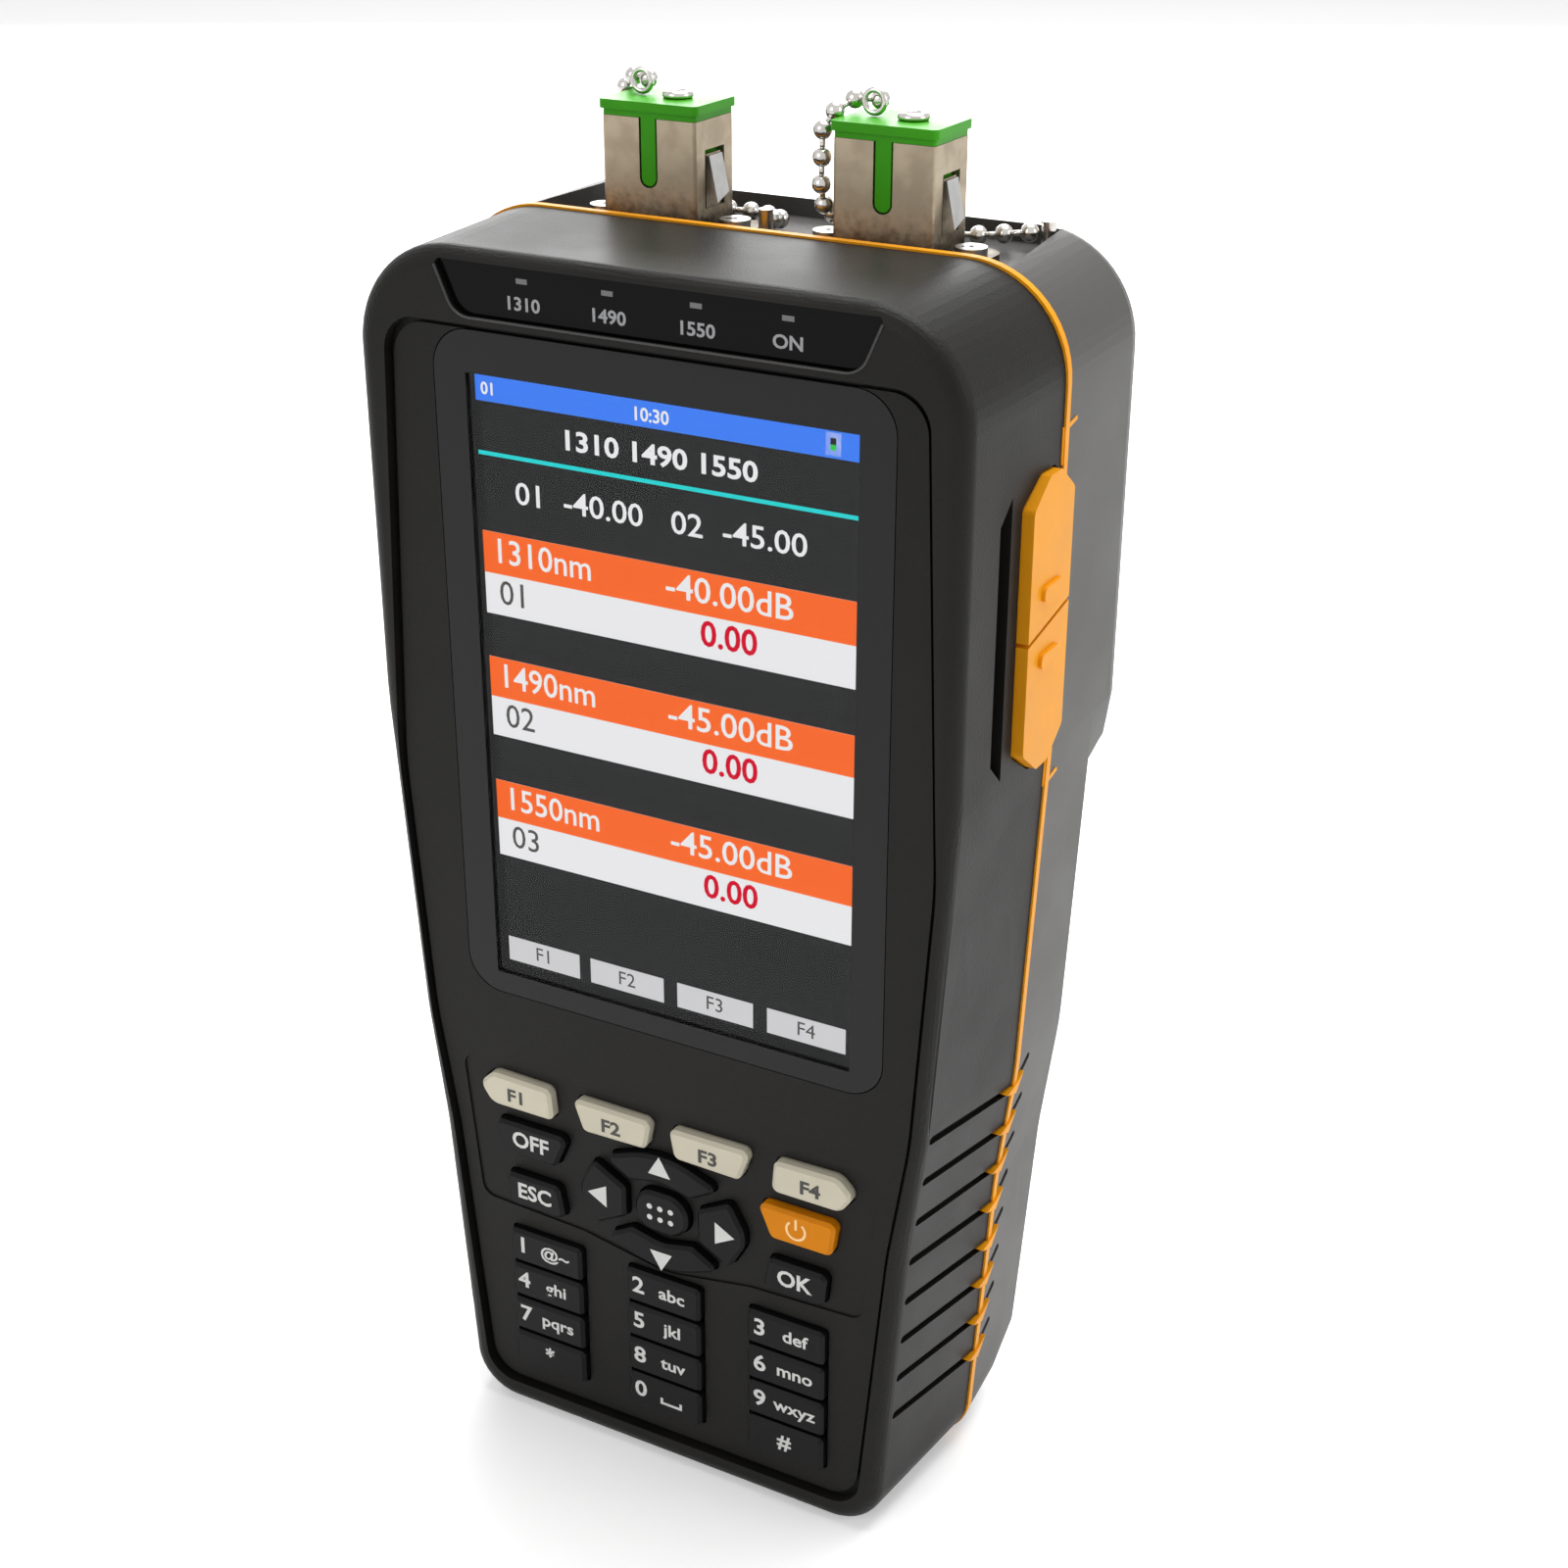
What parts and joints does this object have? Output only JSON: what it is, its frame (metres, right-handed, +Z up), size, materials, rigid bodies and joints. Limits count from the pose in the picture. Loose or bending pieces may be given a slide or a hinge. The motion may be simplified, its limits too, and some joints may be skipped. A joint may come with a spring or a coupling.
{
  "type": "optical power meter",
  "caption": "Handheld optical power meter: two-part housing with grip slots, colour display, keypad, socket cover and two capped fibre ports.",
  "frame": {"origin": "middle of the foot in x, at the seam between the two housing halves, on the surface the meter stands on", "axes": "+Z up along the length, +X to the right seen from the front, front face towards -Y"},
  "size_m": [0.0841, 0.049, 0.1812],
  "materials": {
    "shell_dark": "fine matte texture",
    "shell_grey": "fine matte texture",
    "band_orange": "soft satin",
    "window_black": "glossy",
    "light_guide": "clear",
    "lens_tinted": "glossy",
    "display_black": "glossy",
    "key_rubber_black": "matte",
    "function_key_cream": "satin",
    "power_key_orange": "satin",
    "board_green": "satin",
    "battery_wrap": "satin",
    "plated_metal": "bright",
    "screw_steel": "satin",
    "cap_green": "semi-gloss",
    "chain_chrome": "bright"
  },
  "bodies": {
    "meter": {"adapter_left": "plated_metal", "adapter_right": "plated_metal", "adapter_screws": "screw_steel", "back_shell": "shell_grey", "battery_door": "shell_grey", "battery_door_screws": "screw_steel", "battery_pack": "battery_wrap", "case_screws": "screw_steel", "chain_anchors": "chain_chrome", "chain_left": "chain_chrome", "chain_right": "chain_chrome", "charge_jack": "window_black", "front_shell": "shell_dark", "indicator_leds": "light_guide", "keypad_mat": "key_rubber_black", "lcd_module": "display_black", "led_window": "window_black", "main_board": "board_green", "receiver_left": "screw_steel", "receiver_right": "screw_steel", "screen_lens": "lens_tinted", "seam_band": "band_orange", "socket_board": "board_green", "usb_socket": "plated_metal"},
    "upper_flap": {"port_cover_upper": "band_orange"},
    "lower_flap": {"port_cover_lower": "band_orange"},
    "cap_left": {"cap_left": "cap_green", "cap_eyelet_left": "chain_chrome", "cap_ring_left": "chain_chrome"},
    "cap_right": {"cap_right": "cap_green", "cap_eyelet_right": "chain_chrome", "cap_ring_right": "chain_chrome"},
    "key_0": {"key_0": "key_rubber_black"},
    "key_1": {"key_1": "key_rubber_black"},
    "key_2": {"key_2": "key_rubber_black"},
    "key_3": {"key_3": "key_rubber_black"},
    "key_4": {"key_4": "key_rubber_black"},
    "key_5": {"key_5": "key_rubber_black"},
    "key_6": {"key_6": "key_rubber_black"},
    "key_7": {"key_7": "key_rubber_black"},
    "key_8": {"key_8": "key_rubber_black"},
    "key_9": {"key_9": "key_rubber_black"},
    "key_down": {"key_down": "key_rubber_black"},
    "key_escape": {"key_escape": "key_rubber_black"},
    "key_f1": {"key_f1": "function_key_cream"},
    "key_f2": {"key_f2": "function_key_cream"},
    "key_f3": {"key_f3": "function_key_cream"},
    "key_f4": {"key_f4": "function_key_cream"},
    "key_hash": {"key_hash": "key_rubber_black"},
    "key_left": {"key_left": "key_rubber_black"},
    "key_menu": {"key_menu": "key_rubber_black"},
    "key_off": {"key_off": "key_rubber_black"},
    "key_ok": {"key_ok": "key_rubber_black"},
    "key_power": {"key_power": "power_key_orange"},
    "key_right": {"key_right": "key_rubber_black"},
    "key_star": {"key_star": "key_rubber_black"},
    "key_up": {"key_up": "key_rubber_black"}
  },
  "joints": [
    {"name": "upper_flap_hinge", "type": "hinge", "parent": "meter", "child": "upper_flap", "pos_m": [0.0421, -0.00395, 0.1434], "axis": [0, -1, 0], "range_deg": [0, 80], "stiffness_Nm_per_rad": 0.002},
    {"name": "lower_flap_hinge", "type": "hinge", "parent": "meter", "child": "lower_flap", "pos_m": [0.0421, -0.00395, 0.1074], "axis": [0, 1, 0], "range_deg": [0, 80], "stiffness_Nm_per_rad": 0.002},
    {"name": "cap_left_slide", "type": "slide", "parent": "meter", "child": "cap_left", "axis": [0, 0, 1], "range_m": [0, 0.012], "deforming": ["chain_left"]},
    {"name": "cap_right_slide", "type": "slide", "parent": "meter", "child": "cap_right", "axis": [0, 0, 1], "range_m": [0, 0.012], "deforming": ["chain_right"]},
    {"name": "key_0_press", "type": "slide", "parent": "meter", "child": "key_0", "axis": [0, 1, 0], "range_m": [0, 0.0008], "stiffness_N_per_m": 900},
    {"name": "key_1_press", "type": "slide", "parent": "meter", "child": "key_1", "axis": [0, 1, 0], "range_m": [0, 0.0008], "stiffness_N_per_m": 900},
    {"name": "key_2_press", "type": "slide", "parent": "meter", "child": "key_2", "axis": [0, 1, 0], "range_m": [0, 0.0008], "stiffness_N_per_m": 900},
    {"name": "key_3_press", "type": "slide", "parent": "meter", "child": "key_3", "axis": [0, 1, 0], "range_m": [0, 0.0008], "stiffness_N_per_m": 900},
    {"name": "key_4_press", "type": "slide", "parent": "meter", "child": "key_4", "axis": [0, 1, 0], "range_m": [0, 0.0008], "stiffness_N_per_m": 900},
    {"name": "key_5_press", "type": "slide", "parent": "meter", "child": "key_5", "axis": [0, 1, 0], "range_m": [0, 0.0008], "stiffness_N_per_m": 900},
    {"name": "key_6_press", "type": "slide", "parent": "meter", "child": "key_6", "axis": [0, 1, 0], "range_m": [0, 0.0008], "stiffness_N_per_m": 900},
    {"name": "key_7_press", "type": "slide", "parent": "meter", "child": "key_7", "axis": [0, 1, 0], "range_m": [0, 0.0008], "stiffness_N_per_m": 900},
    {"name": "key_8_press", "type": "slide", "parent": "meter", "child": "key_8", "axis": [0, 1, 0], "range_m": [0, 0.0008], "stiffness_N_per_m": 900},
    {"name": "key_9_press", "type": "slide", "parent": "meter", "child": "key_9", "axis": [0, 1, 0], "range_m": [0, 0.0008], "stiffness_N_per_m": 900},
    {"name": "key_down_press", "type": "slide", "parent": "meter", "child": "key_down", "axis": [0, 1, 0], "range_m": [0, 0.0008], "stiffness_N_per_m": 700},
    {"name": "key_escape_press", "type": "slide", "parent": "meter", "child": "key_escape", "axis": [0, 1, 0], "range_m": [0, 0.0008], "stiffness_N_per_m": 700},
    {"name": "key_f1_press", "type": "slide", "parent": "meter", "child": "key_f1", "axis": [0, 1, 0], "range_m": [0, 0.0008], "stiffness_N_per_m": 700},
    {"name": "key_f2_press", "type": "slide", "parent": "meter", "child": "key_f2", "axis": [0, 1, 0], "range_m": [0, 0.0008], "stiffness_N_per_m": 700},
    {"name": "key_f3_press", "type": "slide", "parent": "meter", "child": "key_f3", "axis": [0, 1, 0], "range_m": [0, 0.0008], "stiffness_N_per_m": 700},
    {"name": "key_f4_press", "type": "slide", "parent": "meter", "child": "key_f4", "axis": [0, 1, 0], "range_m": [0, 0.0008], "stiffness_N_per_m": 700},
    {"name": "key_hash_press", "type": "slide", "parent": "meter", "child": "key_hash", "axis": [0, 1, 0], "range_m": [0, 0.0008], "stiffness_N_per_m": 900},
    {"name": "key_left_press", "type": "slide", "parent": "meter", "child": "key_left", "axis": [0, 1, 0], "range_m": [0, 0.0008], "stiffness_N_per_m": 700},
    {"name": "key_menu_press", "type": "slide", "parent": "meter", "child": "key_menu", "axis": [0, 1, 0], "range_m": [0, 0.0008], "stiffness_N_per_m": 700},
    {"name": "key_off_press", "type": "slide", "parent": "meter", "child": "key_off", "axis": [0, 1, 0], "range_m": [0, 0.0008], "stiffness_N_per_m": 700},
    {"name": "key_ok_press", "type": "slide", "parent": "meter", "child": "key_ok", "axis": [0, 1, 0], "range_m": [0, 0.0008], "stiffness_N_per_m": 700},
    {"name": "key_power_press", "type": "slide", "parent": "meter", "child": "key_power", "axis": [0, 1, 0], "range_m": [0, 0.0008], "stiffness_N_per_m": 700},
    {"name": "key_right_press", "type": "slide", "parent": "meter", "child": "key_right", "axis": [0, 1, 0], "range_m": [0, 0.0008], "stiffness_N_per_m": 700},
    {"name": "key_star_press", "type": "slide", "parent": "meter", "child": "key_star", "axis": [0, 1, 0], "range_m": [0, 0.0008], "stiffness_N_per_m": 900},
    {"name": "key_up_press", "type": "slide", "parent": "meter", "child": "key_up", "axis": [0, 1, 0], "range_m": [0, 0.0008], "stiffness_N_per_m": 700}
  ]
}
